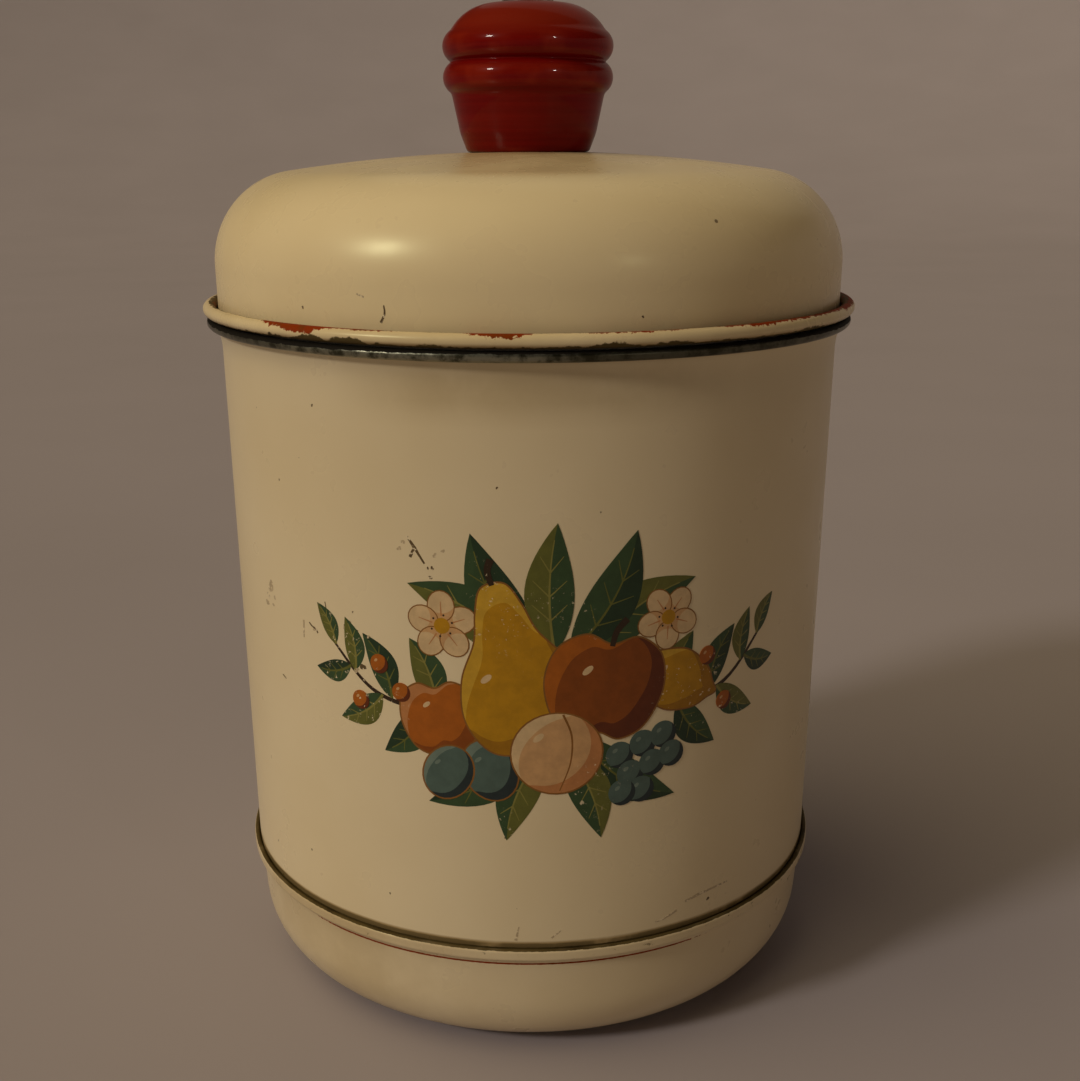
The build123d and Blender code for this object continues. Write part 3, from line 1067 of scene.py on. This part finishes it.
scratch(jar_scars, "scar", [(-37.4, 94.5), (-37.2, 93.3)], 0.25, 0.2)
scratch(jar_scars, "scar", [(-51.1, 75.9), (-49.9, 75.3)], 0.35, 0.25)
scratch(jar_scars, "scar", [(-41.7, 89.4), (-41.0, 88.8), (-40.0, 88.4), (-39.6, 87.7)], 0.3, 0.35)
scratch(jar_scars, "rub", [(-43.2, 89.5), (-43.4, 85.9)], 0.5, 0.3)
dab(jar_scars, "scar", -29.6, 83.2, 0.8)
dab(jar_scars, "rub", -31.0, 82.2, 0.7)
scratch(jar_scars, "rub", [(28.9, 33.1), (31.9, 33.7)], 0.5, 0.7)
scratch(jar_scars, "rub", [(31.9, 33.7), (35.5, 34.0), (38.9, 34.1)], 0.6, 0.3)
scratch(jar_scars, "rub", [(22.8, 30.2), (24.5, 30.5), (27.2, 31.6)], 0.4, 0.5)
scratch(jar_scars, "rub", [(-2.7, 29.1), (-2.1, 32.2)], 0.6, 0.2)
scratch(jar_scars, "rub", [(3.6, 29.6), (5.5, 31.4)], 0.4, 0.2)
scratch(jar_scars, "scar", [(74.0, 66.0), (76.5, 61.0), (77.2, 58.5)], 0.3, 0.2)
scratch(jar_scars, "scar", [(131.0, 98.0), (134.5, 95.5)], 0.4, 0.2)
scratch(jar_scars, "rub", [(148.0, 54.0), (153.0, 52.0), (156.0, 52.6)], 0.7, 0.3)
scratch(jar_scars, "scar", [(-108.0, 74.0), (-111.0, 70.0)], 0.3, 0.4)
scratch(jar_scars, "rub", [(-143.0, 109.0), (-139.0, 107.0)], 0.6, 0.4)
scratch(jar_scars, "rub", [(-127.0, 100.2), (-125.6, 98.4)], 0.4, 0.2)
jar_scars.lay("jar_scars", MARKS, "jar")

lid_scars = Laid(angle=0, height=0, radius=lid_radius)
scratch(lid_scars, "scar", [(-22.5, 149.7), (-22.4, 148.3), (-23.1, 146.8)], 0.25, 0.5)
scratch(lid_scars, "rub", [(-27.2, 151.4), (-25.9, 150.9)], 0.3, 0.3)
dab(lid_scars, "scar", -38.2, 148.5, 0.3)
dab(lid_scars, "scar", 17.4, 147.9, 0.25)
scratch(lid_scars, "scar", [(104.0, 150.5), (106.0, 147.5)], 0.3, 0.2)
scratch(lid_scars, "rub", [(-161.0, 149.0), (-156.0, 148.2)], 0.5, 0.3)
lid_scars.lay("lid_scars", MARKS, "lid")

# Stage, in metres: a pale floor that sweeps up all round, far from the object, and casts no shadow, so that
# the low light passes it. Above its edge a backdrop that only the camera sees goes on, so that low views end
# on it and it sends no light back.
STAGE_FACETS = 96
floor_line = [(0.4, 0), (2.4, 0)] + arc((2.4, 3.2), 3.2, -90, -38, 14)[1:] + [(5.406, 1.85)]
backdrop_line = arc((2.884, 3.82), 3.2, -38, 0, 16) + [(6.084, 6.5)]
paper = Finish("floor")
paper_colour = paper.mix(paper.noise(5, 3), (0.365, 0.325, 0.345), (0.41, 0.365, 0.39))
paper.set(Base_Color=paper_colour, Roughness=0.85)


def staged(name, line, filled):
    stage = bmesh.new()
    turns = [math.tau * k / STAGE_FACETS for k in range(STAGE_FACETS)]
    rings = [[stage.verts.new((r * math.sin(a), r * math.cos(a), z)) for a in turns] for r, z in line]
    if filled:
        stage.faces.new(rings[0])
    for low, high in zip(rings, rings[1:]):
        for k in range(STAGE_FACETS):
            n = (k + 1) % STAGE_FACETS
            stage.faces.new([low[k], low[n], high[n], high[k]])
    bmesh.ops.recalc_face_normals(stage, faces=stage.faces)
    mesh = bpy.data.meshes.new(name)
    stage.to_mesh(mesh)
    stage.free()
    mesh.shade_smooth()
    mesh.materials.append(paper.material)
    piece = bpy.data.objects.new(name, mesh)
    bpy.context.scene.collection.objects.link(piece)
    return piece


staged("floor", floor_line, True).visible_shadow = False
backdrop = staged("backdrop", backdrop_line, False)
backdrop.visible_diffuse = False
backdrop.visible_glossy = False
backdrop.visible_shadow = False


# Light: a key from the left, with two soft warm ones high and low beside it that stay out of reflections, a
# small one at the right, one behind, and one at the right for the knob alone

def sun(name, azimuth, elevation, strength, spread, colour):
    light = bpy.data.lights.new(name, "SUN")
    light.energy = strength
    light.angle = math.radians(spread)
    light.color = colour
    lamp = bpy.data.objects.new(name, light)
    bpy.context.scene.collection.objects.link(lamp)
    a, e = math.radians(azimuth), math.radians(elevation)
    towards = Vector((math.sin(a) * math.cos(e), -math.cos(a) * math.cos(e), math.sin(e)))
    lamp.rotation_euler = towards.to_track_quat("Z", "Y").to_euler()
    return lamp


sun("key", -57, 31, 0.89, 9, (1.0, 0.92, 0.82))
sun("low", -48, 8, 0.12, 14, (1.0, 0.90, 0.76)).visible_glossy = False
sun("high", -74, 58, 1.05, 60, (1.0, 0.80, 0.46)).visible_glossy = False
sun("right", 37, 21, 0.052, 3, (1.0, 0.88, 0.74))
sun("back", 160, 40, 0.16, 60, (1.0, 0.86, 0.70))
sparkle = sun("sparkle", 37, 21, 0.3, 4, (1.0, 0.92, 0.84))
glossy_pieces = bpy.data.collections.new("glossy_pieces")
glossy_pieces.objects.link(knob_turning)
sparkle.light_linking.receiver_collection = glossy_pieces
world = bpy.data.worlds.new("glow")
world.use_nodes = True
world.node_tree.nodes["Background"].inputs["Color"].default_value = (0.012, 0.010, 0.009, 1)
scene = bpy.context.scene
scene.world = world
scene.view_settings.view_transform = "Standard"

# Camera at the photograph's place and angle: focal length and shift in its pixels, place in metres, turns in
# degrees
IMAGE_HEIGHT = 1081
FOCAL_LENGTH = 1362.5
SHIFT_X, SHIFT_Y = 10, 99.5
SENSOR = 36
CAMERA_PLACE = (0, -0.29357, 0.17436)
LOOK_DOWN = 19.82
ROLL = -0.2
lens = bpy.data.cameras.new("camera")
lens.sensor_width = SENSOR
lens.lens = SENSOR * FOCAL_LENGTH / IMAGE_HEIGHT
lens.shift_x = SHIFT_X / IMAGE_HEIGHT
lens.shift_y = SHIFT_Y / IMAGE_HEIGHT
lens.clip_start = 0.01
camera = bpy.data.objects.new("camera", lens)
scene.collection.objects.link(camera)
camera.matrix_world = (
    Matrix.Translation(CAMERA_PLACE)
    @ Matrix.Rotation(math.radians(90 - LOOK_DOWN), 4, "X")
    @ Matrix.Rotation(math.radians(ROLL), 4, "Z")
)
scene.camera = camera

bpy.context.view_layer.update()
